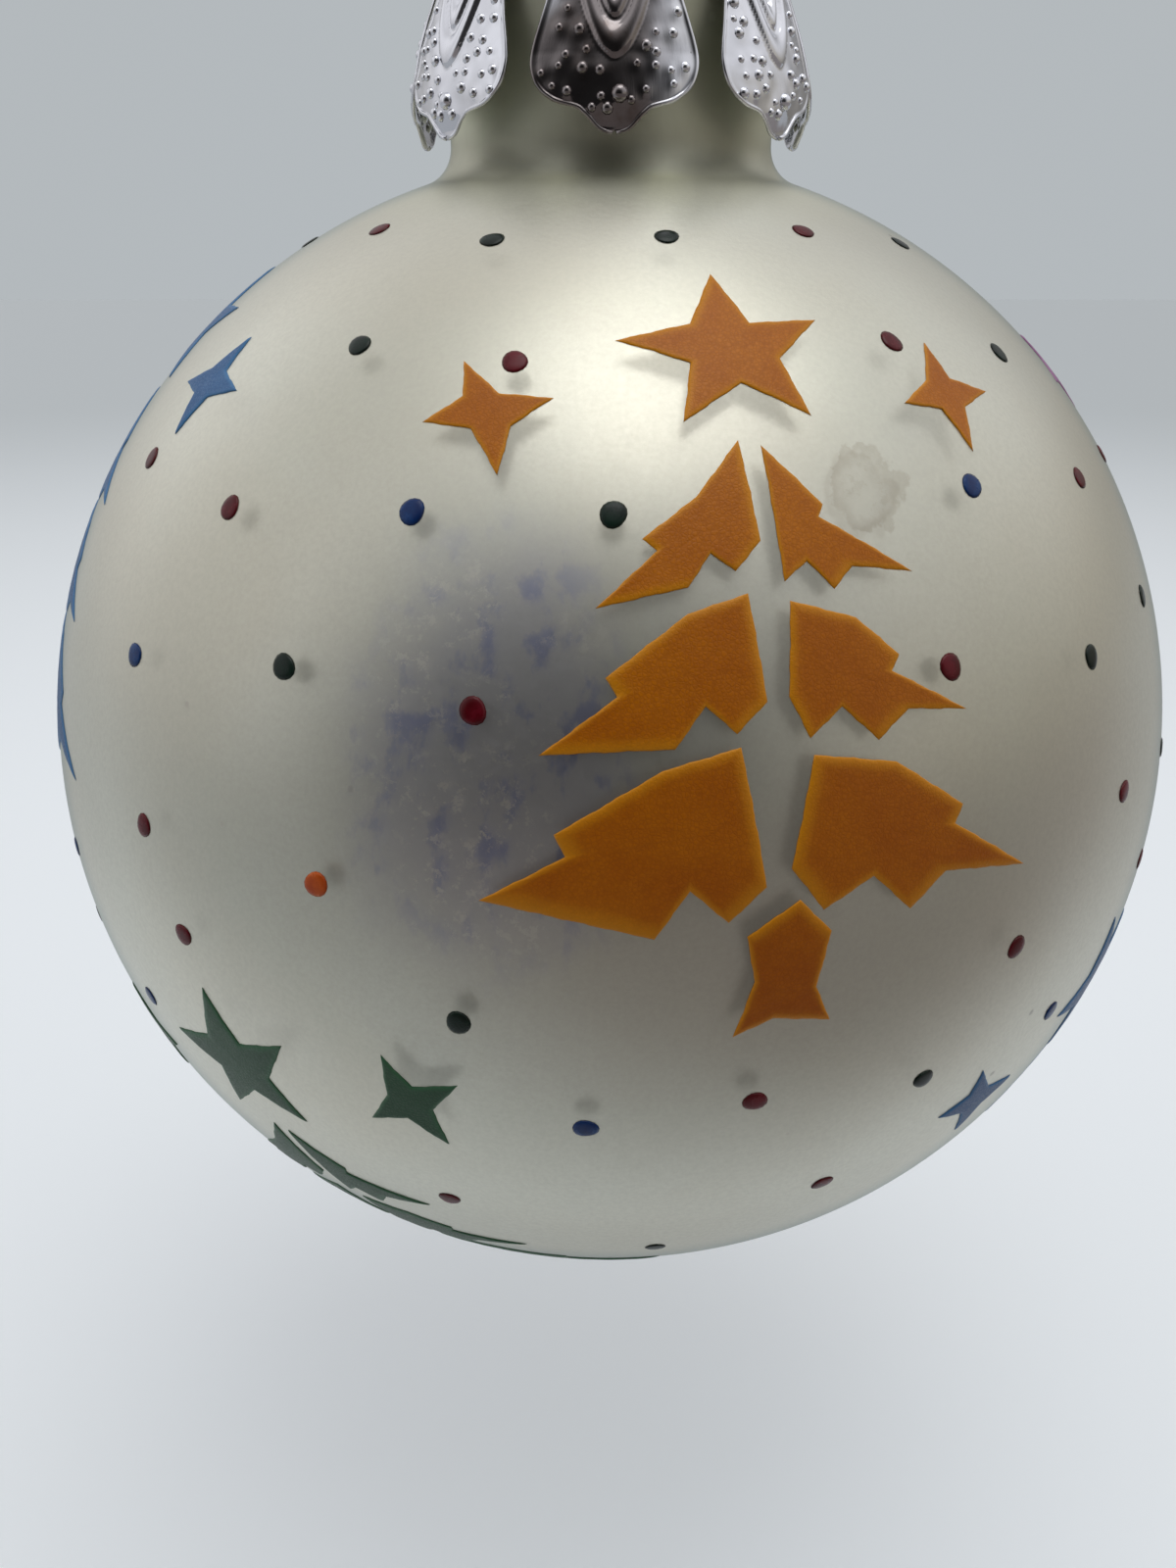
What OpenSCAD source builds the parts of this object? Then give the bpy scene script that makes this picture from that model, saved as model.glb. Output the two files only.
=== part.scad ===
// Frosted glass Christmas ball with a stamped metal crown cap and a sprung wire hanger.
// Origin: the top of the inside of the wire loop, where a hook or thread bears. +Z is up.
// The front of the ball faces -Y. Latitudes and longitudes are measured about the ball's centre,
// with longitude 0 at the front and positive towards +X.

/* [Glass ball] */
// Outside diameter of the blown ball
ball_dia = 100; // [80:1:120]
// Wall thickness of the ball
ball_wall = 1; // [0.8:0.1:2]
// Outside diameter of the neck
neck_dia = 26.4; // [24:0.1:30]
// Wall thickness of the neck
neck_wall = 1.1; // [0.8:0.1:2]
// Height of the neck's rim above the ball's centre
neck_top = 63.5; // [60:0.5:70]
// Radius of the sweep where the neck grows out of the ball
neck_sweep = 3; // [1.5:0.5:5]
// Thickness of the pearl coating on the inside of the glass
lining_thick = 0.15; // [0.1:0.05:0.3]

/* [Crown cap] */
// Thickness of the stamped sheet
cap_sheet = 0.3; // [0.2:0.05:0.5]
// Play between the neck and the cap's band, each side
cap_play = 0.25; // [0.2:0.05:0.5]
// Height of the plain band below the cap's top
band_height = 2.2; // [2:0.2:5]
// Number of petals round the cap
petal_count = 7; // [5:1:9]
// Length of a petal from the band to its tip
petal_length = 11; // [8:0.5:14]
// Greatest width of a petal
petal_width = 12.1; // [8:0.1:13]
// How far the petals stand out beyond the band at their tips
petal_flare = 2.3; // [1:0.1:4]
// How far the embossed ridges and beads stand proud of the sheet
emboss = 0.25; // [0.1:0.05:0.5]
// Number of raised beads on each petal
bead_count = 12; // [0:1:24]

/* [Wire hanger] */
// Diameter of the spring wire
wire_dia = 1; // [0.8:0.1:1.4]
// Clear width inside the loop
loop_width = 7.2; // [5:0.2:10]
// Height from the bearing point down to the neck's rim
loop_height = 9.5; // [8:0.5:16]
// Play between each bowed leg and the coated bore of the neck
leg_play = 0.2; // [0.1:0.05:0.5]
// Radius of the outward bend just below the cap
leg_bend = 4; // [3:0.5:6]
// Radius of the long bow that bears on the neck
leg_bow = 10; // [8:0.5:14]
// Angle through which each leg tucks in again below its widest point
leg_tuck = 50; // [20:5:70]

/* [Printed trees] */
// Height of one printed tree, measured flat
tree_height = 50; // [20:1:52]
// Thickness of the printed enamel
print_thick = 0.1; // [0.06:0.02:0.2]
// Latitude of the upper band of trees
upper_latitude = 26; // [20:1:35]
// Longitude of the first tree in the upper band
upper_start = 12; // [-45:1:45]
// Latitude of the lower band of trees
lower_latitude = -36; // [-45:1:-25]
// Longitude of the first tree in the lower band
lower_start = -30; // [-45:1:45]
// Lean of the trees in the lower band
lower_lean = 14; // [-30:1:30]

/* [Printed dots] */
// Diameter of each printed dot
dot_dia = 1.7; // [1:0.1:3]
// Bare glass kept between a dot and any printed tree
dot_margin = 0.8; // [0.4:0.1:3]
// How far a dot strays from its row, in degrees
dot_stray = 1.2; // [0:0.1:2]

/* [Hidden] */
$fn = 64;
fit_gap = 0.03;
ball_radius = ball_dia / 2;
neck_radius = neck_dia / 2;
bore_radius = neck_radius - neck_wall;
rim_z = -loop_height;
ball_z = rim_z - neck_top;
wire_radius = wire_dia / 2;
leg_x = loop_width / 2 + wire_radius;
coat_radius = bore_radius - fit_gap - 1.1 * lining_thick;
bow_x = coat_radius - leg_play - wire_radius;
band_radius = neck_radius + cap_play;
band_bottom = cap_sheet - band_height;
petal_step = 360 / petal_count;
tree_scale = tree_height / 50;
print_inner = ball_radius + fit_gap;
print_outer = print_inner + print_thick;

// Shards that make up one tree, as flat outlines 50 mm tall overall: x across, y up.
shards = [
    // ragged star
    [[0.4, 25], [2, 20.8], [6.8, 21.2], [3.4, 18], [4.6, 13.8], [0.4, 16.2], [-3.8, 13.6],
        [-2.6, 17.8], [-7, 19.8], [-2, 20.8]],
    // sparkle on the left
    [[-16.4, 19.6], [-14.6, 16.8], [-11.4, 16], [-14.2, 14.4], [-15.4, 11.2], [-16.6, 14.6],
        [-19.4, 15.6], [-16.8, 17]],
    // sparkle on the right
    [[15.2, 20.2], [16.4, 17.4], [19.6, 16.8], [17, 15.2], [16.6, 11.8], [14.8, 14.8],
        [11.8, 15], [14.2, 17]],
    // top bough, left half
    [[-0.6, 12.2], [-0.2, 5.6], [-2, 3.8], [-3.4, 5], [-5, 3], [-10.6, 2.2], [-6.6, 5.4], [-7.4, 6.2],
        [-3.8, 8.6]],
    // top bough, right half
    [[0.8, 11.8], [4.2, 7.8], [3.8, 7], [9.8, 3.4], [5.6, 3.8], [4.2, 2.4], [2.6, 4.2], [1, 3],
        [0.9, 5.6]],
    // middle bough, left half
    [[-1.4, 2.4], [-0.8, -4.2], [-2.8, -6], [-4.6, -4.2], [-6.6, -6.6], [-14.6, -6.2], [-9.8, -3.2],
        [-10.4, -2], [-5.2, 1.4]],
    // middle bough, right half
    [[1.2, 1.8], [5.4, 0.6], [8.2, -1.8], [7.6, -2.8], [13, -5.4], [8.6, -5.2], [6.4, -7], [4, -4.8],
        [1.8, -6.6], [0.6, -4]],
    // bottom bough, left half
    [[-2.6, -6.8], [-1.2, -15.4], [-3.6, -17.4], [-6, -15.2], [-8.2, -18], [-18.6, -14.6],
        [-13.4, -12.4], [-14, -11], [-7.4, -7.8]],
    // bottom bough, right half
    [[2, -7.6], [7.6, -8.4], [12.6, -11.4], [12, -12.6], [18.2, -15.8], [11.4, -15.6], [8.8, -17.8],
        [6, -15.4], [2.6, -17.2], [0.4, -14.4]],
    // trunk
    [[-2.4, -18.4], [1, -16.4], [3.2, -18.6], [2.4, -22.2], [3.6, -24.6], [-0.4, -24], [-3, -25],
        [-1.8, -21.4]]
];

// The trees: colour, latitude, longitude and lean of each one.
trees = [
    ["orange", upper_latitude, upper_start, 0],
    ["violet", upper_latitude, upper_start + 90, 0],
    ["green", upper_latitude, upper_start + 180, 0],
    ["blue", upper_latitude, upper_start + 270, 0],
    ["green", lower_latitude, lower_start, lower_lean],
    ["blue", lower_latitude, lower_start + 90, lower_lean],
    ["orange", lower_latitude, lower_start + 180, lower_lean],
    ["violet", lower_latitude, lower_start + 270, lower_lean]
];

// The rows of dots: latitude, number round the ball, first longitude, colours in turn
// (r red, b blue, g green, o orange).
dot_rows = [
    [61, 13, 7, "gr"],
    [47, 17, -31, "grbrg"],
    [34, 20, -55, "rrbgrbr"],
    [21, 20, -64, "gbgrbrg"],
    [7, 20, -42, "robrbrg"],
    [-2, 15, -13, "gbrr"],
    [-12, 24, -3, "brg"],
    [-26, 10, -15, "rrb"],
    [-37, 8, 6, "gbr"],
    [-52, 8, 15, "rbg"],
    [-68, 6, 0, "br"]
];

// Turns a flat drawing facing +Z so that it faces out of the ball at a latitude and longitude.
module face_out(latitude, longitude, lean = 0) {
    rotate([0, 0, longitude])
        rotate([90 - latitude, 0, 0])
            rotate([0, 0, lean])
                children();
}

// Direction out of the ball at a latitude and longitude.
function outward(latitude, longitude) = [
    sin(longitude) * cos(latitude),
    -cos(longitude) * cos(latitude),
    sin(latitude)
];

// The flat axes of a tree: across, up and out.
function tree_out(tree) = outward(tree[1], tree[2]);
function level_across(tree) = [cos(tree[2]), sin(tree[2]), 0];
function level_up(tree) = outward(tree[1] + 90, tree[2]);
function tree_across(tree) = cos(tree[3]) * level_across(tree) + sin(tree[3]) * level_up(tree);
function tree_up(tree) = cos(tree[3]) * level_up(tree) - sin(tree[3]) * level_across(tree);

// Distance from a flat point to a straight edge.
function edge_gap(p, a, b) =
    let (run = b - a, t = max(0, min(1, (p - a) * run / (run * run))))
        norm(p - a - t * run);

// 1 when a level line to the right of the point crosses the edge, otherwise 0.
function crosses(p, a, b) =
    (a.y > p.y) != (b.y > p.y) && p.x < a.x + (p.y - a.y) * (b.x - a.x) / (b.y - a.y) ? 1 : 0;

function total(list, i = 0) = i < len(list) ? list[i] + total(list, i + 1) : 0;

// True when a flat point lies clear of one shard by the margin.
function clear_of_shard(p, shard, margin) =
    let (n = len(shard))
        total([for (i = [0:n - 1]) crosses(p, shard[i], shard[(i + 1) % n])]) % 2 == 0
            && min([for (i = [0:n - 1]) edge_gap(p, shard[i], shard[(i + 1) % n])]) > margin;

// True when a spot on the ball lies clear of every shard of one tree.
function clear_of_tree(spot, tree) =
    let (p = ball_radius / tree_scale * [spot * tree_across(tree), spot * tree_up(tree)],
        margin = (dot_dia / 2 + dot_margin) / tree_scale)
        spot * tree_out(tree) < 0
            || min([for (shard = shards) clear_of_shard(p, shard, margin) ? 1 : 0]) == 1;

function clear_of_trees(spot) =
    min([for (tree = trees) clear_of_tree(spot, tree) ? 1 : 0]) == 1;

// Latitude and longitude of every dot of one colour that is clear of the trees.
function dots_of(letter) = [
    for (r = [0:len(dot_rows) - 1])
        let (row = dot_rows[r])
            for (k = [0:row[1] - 1])
                let (latitude = row[0] + dot_stray * sin(137 * k + 50 * r),
                    longitude = row[2] + k * 360 / row[1] + dot_stray * cos(95 * k + 70 * r))
                    if (row[3][k % len(row[3])] == letter
                        && clear_of_trees(outward(latitude, longitude)))
                        [latitude, longitude]
];

// Flat half-section of a ball with a neck, for one radius of each and of the sweep between them.
module ball_section(radius, neck, sweep, top) {
    centre_x = neck + sweep;
    centre_z = sqrt(pow(radius + sweep - 0.004, 2) - pow(centre_x, 2));
    foot_x = centre_x * radius / (radius + sweep);
    foot_z = centre_z * radius / (radius + sweep);
    intersection() {
        circle(radius);
        translate([0, -radius])
            square([radius, 2 * radius]);
    }
    translate([0, foot_z - 2])
        square([neck, top - foot_z + 2]);
    difference() {
        polygon([[neck - 1, foot_z - 2], [foot_x, foot_z - 2], [foot_x + 0.02, foot_z],
            [neck + 0.02, centre_z], [neck - 1, centre_z]]);
        translate([centre_x, centre_z])
            circle(sweep);
    }
}

// Half-section of the glass moved inwards by a depth.
module sunk_section(depth, top) {
    ball_section(ball_radius - depth, neck_radius - depth * neck_wall / ball_wall,
        neck_sweep + depth * neck_wall / ball_wall, top);
}

module glass_ball() {
    color([0.88, 0.88, 0.83, 0.6])
        translate([0, 0, ball_z])
            rotate_extrude()
                difference() {
                    sunk_section(0, neck_top);
                    sunk_section(ball_wall, neck_top + 1);
                }
}

// The coat runs up the bore and stops just short of the rim.
module pearl_lining() {
    color([0.93, 0.92, 0.86])
        translate([0, 0, ball_z])
            rotate_extrude()
                difference() {
                    sunk_section(ball_wall + fit_gap, neck_top - 0.5);
                    sunk_section(ball_wall + fit_gap + lining_thick, neck_top);
                }
}

// Flat shape of one petal, hanging down from the top of the band: x across, y up.
module petal_outline() {
    half = petal_width / 2;
    down = petal_length / 11;
    side = [
        [0.66, 0.4], [0.7, -0.8], [0.76, -2], [0.82, -3], [0.9, -4.3], [0.96, -5.3], [1, -6.4],
        [0.98, -7.3], [0.92, -8], [0.8, -8.6], [0.65, -9], [0.5, -9.2], [0.35, -9.7], [0.26, -10.2],
        [0.19, -10.6], [0.1, -10.9]
    ];
    points = [for (s = side) [s[0] * half, s[1] * down]];
    polygon(concat(points, [for (i = [len(points) - 1:-1:0]) [-points[i][0], points[i][1]]]));
}

// Pointed drop shape: point at the top, round at the bottom.
module drop_outline(width, top, bottom) {
    steps = 10;
    polygon([for (i = [0:2 * steps - 1])
        let (a = 180 * i / steps, h = (1 - cos(a)) / 2)
            [width / 2 * sin(a) * pow(h, 0.55) * 1.25, top + (bottom - top) * h]]);
}

// Radius and height of the outside of the cap, from the band's foot to the tips of the petals.
flare_line = [for (b = [[0, 0], [0.22, -1.4], [0.62, -4.1], [0.93, -7], [1, -petal_length - 0.5]])
    [band_radius + cap_sheet + b[0] * petal_flare, band_bottom + b[1]]];

// Sheet of revolution under the flare line; lift and depth are measured outwards and inwards.
module flare(lift, depth) {
    last = len(flare_line) - 1;
    rotate_extrude()
        polygon(concat(
            [for (i = [0:last]) flare_line[i] + [lift, 0]],
            [for (i = [last:-1:0]) flare_line[i] - [depth, 0]]
        ));
}

// Pushes a flat drawing out through the flare on the side facing -Y.
module through_petal() {
    translate([0, 0.5 - neck_radius, band_bottom])
        rotate([90, 0, 0])
            linear_extrude(height = petal_flare + 4)
                children();
}

module each_petal() {
    for (k = [0:petal_count - 1])
        rotate([0, 0, k * petal_step])
            children();
}

// Raised double drop and beads on one petal.
module petal_relief() {
    intersection() {
        flare(emboss, cap_sheet / 2);
        through_petal() {
            difference() {
                drop_outline(4.2, -0.6, -6);
                drop_outline(3, -1.5, -5.3);
            }
            difference() {
                drop_outline(2, -1.8, -4.7);
                drop_outline(1, -2.6, -4.1);
            }
            for (k = [1:bead_count])
                let (ring = 3.1 + 0.75 * (k % 3), swing = (k - (bead_count + 1) / 2) * 190 / bead_count)
                    translate([0.95 * ring * sin(swing), -4.2 - 0.92 * ring * cos(swing)])
                        circle(0.3);
        }
    }
}

module crown_cap() {
    color([0.82, 0.82, 0.85])
        translate([0, 0, rim_z + fit_gap]) {
            difference() {
                intersection() {
                    rotate_extrude()
                        polygon(concat(
                            [[0, cap_sheet], [band_radius + cap_sheet, cap_sheet]],
                            flare_line,
                            [for (i = [len(flare_line) - 1:-1:0]) flare_line[i] - [cap_sheet, 0]],
                            [[band_radius, 0], [0, 0]]
                        ));
                    union() {
                        translate([0, 0, band_bottom])
                            cylinder(r = 2 * band_radius, h = 2 * band_height);
                        each_petal()
                            through_petal()
                                petal_outline();
                    }
                }
                for (side = [-1, 1])
                    translate([side * leg_x, 0, -1])
                        cylinder(r = wire_radius + 0.15, h = 3);
            }
            each_petal()
                petal_relief();
        }
}

// Half of the wire's centre line, from the top of the loop to the end of the leg at +X.
// Each stop is [x, z, angle of the outward side of the wire].
function half_wire() =
    let (loop_z = wire_radius - leg_x,
        bend_z = rim_z - 0.5,
        swing = acos(1 - (bow_x - leg_x) / (leg_bend + leg_bow)),
        bow_z = bend_z - (leg_bend + leg_bow) * sin(swing))
        concat(
            [for (i = [0:8])
                let (a = 90 - 90 * i / 8)
                    [leg_x * cos(a), loop_z + leg_x * sin(a), a]],
            [for (i = [0:6])
                let (a = swing * i / 6)
                    [leg_x + leg_bend * (1 - cos(a)), bend_z - leg_bend * sin(a), a]],
            [for (i = [1:12])
                let (a = swing - (swing + leg_tuck) * i / 12)
                    [bow_x - leg_bow * (1 - cos(a)), bow_z + leg_bow * sin(a), a]]
        );

// The whole centre line, from the end of one leg over the loop to the end of the other.
function whole_wire() =
    let (half = half_wire(), last = len(half) - 1)
        concat(
            [for (i = [last:-1:1]) [-half[i][0], half[i][1], 180 - half[i][2]]],
            half
        );

module wire_hanger() {
    sides = 12;
    path = whole_wire();
    rings = len(path);
    points = [for (stop = path)
        for (j = [0:sides - 1])
            let (a = 360 * j / sides, out = wire_radius * cos(a))
                [stop[0] + out * cos(stop[2]), wire_radius * sin(a), stop[1] + out * sin(stop[2])]];
    walls = [for (i = [0:rings - 2])
        for (j = [0:sides - 1])
            let (k = (j + 1) % sides)
                [i * sides + j, (i + 1) * sides + j, (i + 1) * sides + k, i * sides + k]];
    ends = [[for (j = [0:sides - 1]) j], [for (j = [sides - 1:-1:0]) (rings - 1) * sides + j]];
    color([0.78, 0.78, 0.8])
        polyhedron(points, concat(walls, ends));
}

module printed_tree(index) {
    tree = trees[index];
    translate([0, 0, ball_z])
        intersection() {
            difference() {
                sphere(print_outer);
                sphere(print_inner);
            }
            face_out(tree[1], tree[2], tree[3])
                translate([0, 0, ball_radius / 2])
                    linear_extrude(height = ball_radius)
                        for (shard = shards)
                            polygon(tree_scale * shard);
        }
}

module printed_dots(letter) {
    translate([0, 0, ball_z])
        intersection() {
            difference() {
                sphere(print_outer);
                sphere(print_inner);
            }
            for (dot = dots_of(letter))
                face_out(dot[0], dot[1])
                    translate([0, 0, ball_radius - 2])
                        cylinder(r = dot_dia / 2, h = 4);
        }
}

module orange_tree_upper() {
    color([0.84, 0.5, 0.1]) printed_tree(0);
}

module violet_tree_upper() {
    color([0.62, 0.42, 0.62]) printed_tree(1);
}

module green_tree_upper() {
    color([0.16, 0.4, 0.27]) printed_tree(2);
}

module blue_tree_upper() {
    color([0.22, 0.44, 0.68]) printed_tree(3);
}

module green_tree_lower() {
    color([0.16, 0.4, 0.27]) printed_tree(4);
}

module blue_tree_lower() {
    color([0.22, 0.44, 0.68]) printed_tree(5);
}

module orange_tree_lower() {
    color([0.84, 0.5, 0.1]) printed_tree(6);
}

module violet_tree_lower() {
    color([0.62, 0.42, 0.62]) printed_tree(7);
}

module red_dots() {
    color([0.48, 0.06, 0.13]) printed_dots("r");
}

module blue_dots() {
    color([0.08, 0.2, 0.52]) printed_dots("b");
}

module green_dots() {
    color([0.06, 0.2, 0.14]) printed_dots("g");
}

module orange_dots() {
    color([0.86, 0.28, 0.08]) printed_dots("o");
}

glass_ball();
pearl_lining();
crown_cap();
wire_hanger();
orange_tree_upper();
violet_tree_upper();
green_tree_upper();
blue_tree_upper();
green_tree_lower();
blue_tree_lower();
orange_tree_lower();
violet_tree_lower();
red_dots();
blue_dots();
green_dots();
orange_dots();
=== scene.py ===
import math

import bpy
import numpy as np
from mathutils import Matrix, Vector


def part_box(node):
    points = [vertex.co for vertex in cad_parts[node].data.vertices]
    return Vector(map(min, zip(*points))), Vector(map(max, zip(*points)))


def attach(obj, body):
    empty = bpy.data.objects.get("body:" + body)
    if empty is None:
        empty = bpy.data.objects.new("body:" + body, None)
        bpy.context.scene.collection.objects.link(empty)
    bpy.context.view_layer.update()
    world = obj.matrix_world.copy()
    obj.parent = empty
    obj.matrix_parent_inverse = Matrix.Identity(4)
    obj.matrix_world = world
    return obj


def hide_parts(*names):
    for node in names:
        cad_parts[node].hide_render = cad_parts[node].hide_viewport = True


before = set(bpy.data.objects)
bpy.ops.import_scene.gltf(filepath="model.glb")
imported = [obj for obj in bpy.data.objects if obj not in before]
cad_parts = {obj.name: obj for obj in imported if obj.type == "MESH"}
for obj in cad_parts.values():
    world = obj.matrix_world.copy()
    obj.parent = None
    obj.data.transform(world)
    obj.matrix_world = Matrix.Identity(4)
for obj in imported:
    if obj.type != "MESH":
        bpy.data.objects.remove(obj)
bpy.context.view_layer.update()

# where the ball and its neck stand, read from the frame
glassLow, glassHigh = (np.array(corner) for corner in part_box("glass_ball"))
ballRadius = (glassHigh[0] - glassLow[0]) / 2
ballHeight = glassLow[2] + ballRadius
rimHeight = glassHigh[2] - ballHeight        # above the ball's centre
ballCentre = np.array([0.0, 0.0, ballHeight])
mm = 0.001
print("frame read: ball radius", round(ballRadius / mm, 2), "mm")


# Turns rows of rings into faces: ring i to ring i + 1, closing round each ring.
def ringFaces(rings, around, first=0):
    i, j = np.meshgrid(np.arange(rings - 1), np.arange(around), indexing="ij")
    k = (j + 1) % around
    a, b = i * around + j + first, i * around + k + first
    return np.stack([a, b, b + around, a + around], axis=-1).reshape(-1, 4)


# A closed skin: a pole, rings of points, another pole. Faces are quads with a fan at each pole.
def poledSkin(firstPole, rings, lastPole):
    count, around = rings.shape[:2]
    points = np.concatenate([[firstPole], rings.reshape(-1, 3), [lastPole]])
    quads = ringFaces(count, around, 1)
    j = np.arange(around)
    k = (j + 1) % around
    last = 1 + (count - 1) * around
    firstFan = np.stack([np.zeros_like(j), k + 1, j + 1], axis=-1)
    lastFan = np.stack([np.full_like(j, len(points) - 1), last + j, last + k], axis=-1)
    return points, quads, np.concatenate([firstFan, lastFan])


def makePiece(name, skins, body, nodes, materials, faceSlots=None):
    allPoints, loops, starts, sizes = [], [], [], []
    base, cursor = 0, 0
    for points, quads, triangles in skins:
        if insideOut(points, quads, triangles):
            quads, triangles = quads[:, ::-1], triangles[:, ::-1]
        allPoints.append(points)
        for block in (quads, triangles):
            if len(block):
                loops.append((block + base).ravel())
                width = block.shape[1]
                starts.append(cursor + width * np.arange(len(block)))
                sizes.append(np.full(len(block), width))
                cursor += block.size
        base += len(points)
    points = np.concatenate(allPoints)
    loops, starts, sizes = map(np.concatenate, (loops, starts, sizes))
    mesh = bpy.data.meshes.new(name)
    mesh.vertices.add(len(points))
    mesh.vertices.foreach_set("co", points.astype(np.float32).ravel())
    mesh.loops.add(len(loops))
    mesh.loops.foreach_set("vertex_index", loops.astype(np.int32))
    mesh.polygons.add(len(starts))
    mesh.polygons.foreach_set("loop_start", starts.astype(np.int32))
    mesh.polygons.foreach_set("loop_total", sizes.astype(np.int32))
    mesh.polygons.foreach_set("use_smooth", np.ones(len(starts), bool))
    if faceSlots is not None:
        mesh.polygons.foreach_set("material_index", faceSlots.astype(np.int32))
    mesh.update(calc_edges=True)
    mesh.validate()
    piece = bpy.data.objects.new(name, mesh)
    bpy.context.scene.collection.objects.link(piece)
    for material in materials:
        mesh.materials.append(material)
    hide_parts(*nodes)
    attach(piece, body)
    return piece


# True if the skin's signed volume, the sum of its corners' triple products, is negative.
def insideOut(points, quads, triangles):
    corners = [triangles]
    if len(quads):
        corners += [quads[:, [0, 1, 2]], quads[:, [0, 2, 3]]]
    t = np.concatenate([c for c in corners if len(c)])
    a, b, c = (points[t[:, n]] - points.mean(axis=0) for n in range(3))
    return np.einsum("ij,ij->i", a, np.cross(b, c)).sum() < 0


# Spins a profile of radius and height round the Z axis through the ball's centre.
def spun(profile, around):
    angle = np.linspace(0, 2 * np.pi, around, endpoint=False)
    r, z = profile[:, 0, None], profile[:, 1, None]
    return np.stack([r * np.sin(angle), -r * np.cos(angle), z + 0 * angle], axis=-1)


# A point on a circular arc: centre plus radius times the cosine and sine of the angle, in degrees.
def arc(centre, radius, start, end, steps):
    a = np.radians(np.linspace(start, end, steps))
    return np.stack([centre[0] + radius * np.cos(a), centre[1] + radius * np.sin(a)], axis=-1)


# An empty node group with its sockets.
def newGroup(name, inputs, outputs):
    group = bpy.data.node_groups.new(name, "ShaderNodeTree")
    for label, kind, value in inputs:
        socket = group.interface.new_socket(name=label, in_out="INPUT", socket_type=kind)
        if value is not None:
            socket.default_value = value
    for label, kind in outputs:
        group.interface.new_socket(name=label, in_out="OUTPUT", socket_type=kind)
    start = group.nodes.new("NodeGroupInput")
    end = group.nodes.new("NodeGroupOutput")
    return group, start.outputs, end.inputs


# Links sockets into a node's inputs, or sets the inputs to plain values.
def fill(tree, node, values):
    for label, value in values.items():
        if isinstance(value, bpy.types.NodeSocket):
            tree.links.new(value, node.inputs[label])
        else:
            node.inputs[label].default_value = value


# A node with its settings and inputs; i0, i1 and so on are inputs by number.
def addNode(tree, kind, settings=None, **inputs):
    node = tree.nodes.new(kind)
    for key, value in (settings or {}).items():
        setattr(node, key, value)
    fill(tree, node, {int(label[1:]) if label[1:].isdigit() else label: value for label, value in inputs.items()})
    return node


# Arithmetic on two values.
def mathNode(tree, operation, first, second=0.0, clamp=False):
    settings = {"operation": operation, "use_clamp": clamp}
    return addNode(tree, "ShaderNodeMath", settings, i0=first, i1=second).outputs[0]


# Product of two or more values.
def times(tree, *values):
    product = values[0]
    for value in values[1:]:
        product = mathNode(tree, "MULTIPLY", product, value)
    return product


def plus(tree, first, second):
    return mathNode(tree, "ADD", first, second)


# Arithmetic on two vectors.
def vectorNode(tree, operation, first, second=(0.0, 0.0, 0.0), output="Vector"):
    node = addNode(tree, "ShaderNodeVectorMath", {"operation": operation}, i0=first, i1=second)
    return node.outputs[output]


def scaledVector(tree, vector, scale):
    return addNode(tree, "ShaderNodeVectorMath", {"operation": "SCALE"}, Vector=vector, Scale=scale).outputs[0]


# One coordinate of a vector: 0, 1 or 2 for x, y or z.
def coordinate(tree, vector, axis):
    return addNode(tree, "ShaderNodeSeparateXYZ", None, Vector=vector).outputs[axis]


# Blend of two colours by a factor.
def mixColour(tree, factor, first, second):
    return addNode(tree, "ShaderNodeMix", {"data_type": "RGBA"}, i0=factor, i6=first, i7=second).outputs[2]


# Carries a value from one range to another, clamped at both ends.
def remap(tree, value, low, high, newLow=0.0, newHigh=1.0, smooth=True):
    settings = {"interpolation_type": "SMOOTHSTEP" if smooth else "LINEAR"}
    return addNode(tree, "ShaderNodeMapRange", settings, i0=value, i1=low, i2=high,
                   i3=newLow, i4=newHigh).outputs[0]


# A mask of 0 to 1 spread evenly over a new range.
def levels(tree, mask, newLow, newHigh):
    return remap(tree, mask, 0.0, 1.0, newLow, newHigh, smooth=False)


# A colour times a share of its brightness.
def darker(colour, share):
    return tuple(share * c for c in colour[:3]) + (1,)


# Fine grain: noise at a scale, stretched between two levels, as a mask.
def makeGrainGroup():
    group, given, out = newGroup("fineGrain", [
        ("Vector", "NodeSocketVector", None), ("Scale", "NodeSocketFloat", 2000.0),
        ("Roughness", "NodeSocketFloat", 0.6), ("Low", "NodeSocketFloat", 0.35),
        ("High", "NodeSocketFloat", 0.65)], [("Mask", "NodeSocketFloat")])
    noise = addNode(group, "ShaderNodeTexNoise", {"noise_dimensions": "3D"}, Vector=given["Vector"],
                    Scale=given["Scale"], Detail=4.0, Roughness=given["Roughness"])
    mask = remap(group, noise.outputs[0], given["Low"], given["High"])
    group.links.new(mask, out["Mask"])
    return group


# Dust and wear specks: small voronoi cells of which only a share is kept.
def makeSpeckGroup():
    group, given, out = newGroup("straySpecks", [
        ("Vector", "NodeSocketVector", None), ("Scale", "NodeSocketFloat", 300.0),
        ("Size", "NodeSocketFloat", 0.12), ("Share", "NodeSocketFloat", 0.1)],
        [("Mask", "NodeSocketFloat")])
    cells = addNode(group, "ShaderNodeTexVoronoi", {"feature": "F1"}, Vector=given["Vector"], Scale=given["Scale"])
    near = remap(group, cells.outputs["Distance"], given["Size"], times(group, given["Size"], 0.4))
    split = addNode(group, "ShaderNodeSeparateColor", None, Color=cells.outputs["Color"])
    kept = mathNode(group, "LESS_THAN", split.outputs[0], given["Share"])
    group.links.new(times(group, near, kept), out["Mask"])
    return group


grainGroup = makeGrainGroup()
speckGroup = makeSpeckGroup()


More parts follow.
